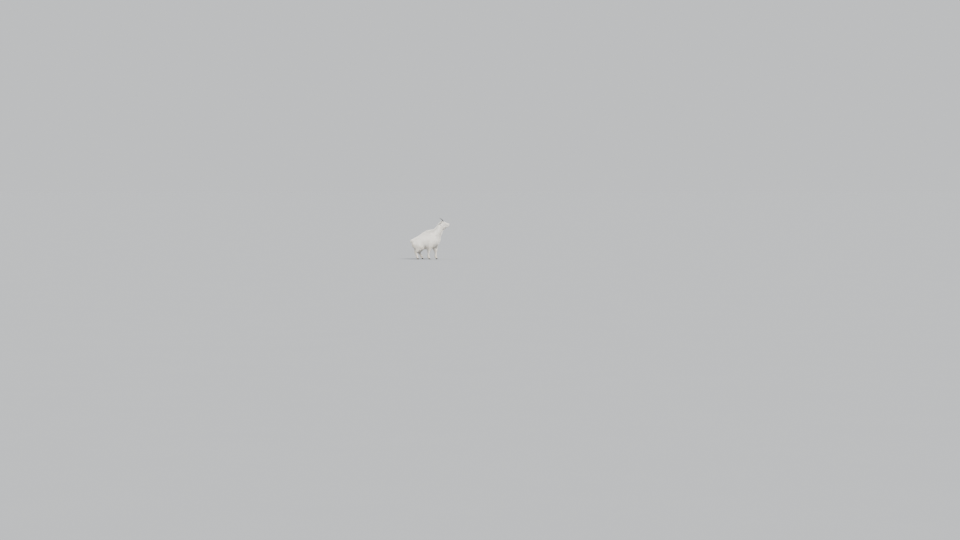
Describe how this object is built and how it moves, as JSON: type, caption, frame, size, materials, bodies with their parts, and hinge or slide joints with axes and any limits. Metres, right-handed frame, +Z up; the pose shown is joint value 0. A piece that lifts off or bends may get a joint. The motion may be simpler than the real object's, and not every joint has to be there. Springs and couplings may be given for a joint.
{
  "type": "mountain goat",
  "caption": "Still life-size mountain goat standing with its head up: shaggy pale coat, short beard, slender dark horns that curve back, and cloven hooves.",
  "frame": {"origin": "on the floor, under the middle of the whole animal's bounding box", "axes": "+Z up, +X the way the goat faces, +Y towards its left side"},
  "size_m": [1.3942, 0.4438, 1.4679],
  "materials": {
    "coat": "matte",
    "horn": "satin",
    "hoof": "satin",
    "eye": "glossy"
  },
  "bodies": {
    "root": {"head": "coat", "neck": "coat", "torso": "coat", "tail": "coat", "ear_right": "coat", "eye_right": "eye", "horn_right": "horn", "leg_front_right_upper": "coat", "leg_front_right_lower": "coat", "hoof_front_right_inner": "hoof", "dewclaw_front_right_inner": "hoof", "hoof_front_right_outer": "hoof", "dewclaw_front_right_outer": "hoof", "leg_hind_right_upper": "coat", "leg_hind_right_lower": "coat", "hoof_hind_right_inner": "hoof", "dewclaw_hind_right_inner": "hoof", "hoof_hind_right_outer": "hoof", "dewclaw_hind_right_outer": "hoof", "ear_left": "coat", "eye_left": "eye", "horn_left": "horn", "leg_front_left_upper": "coat", "leg_front_left_lower": "coat", "hoof_front_left_inner": "hoof", "dewclaw_front_left_inner": "hoof", "hoof_front_left_outer": "hoof", "dewclaw_front_left_outer": "hoof", "leg_hind_left_upper": "coat", "leg_hind_left_lower": "coat", "hoof_hind_left_inner": "hoof", "dewclaw_hind_left_inner": "hoof", "hoof_hind_left_outer": "hoof", "dewclaw_hind_left_outer": "hoof"}
  },
  "joints": []
}
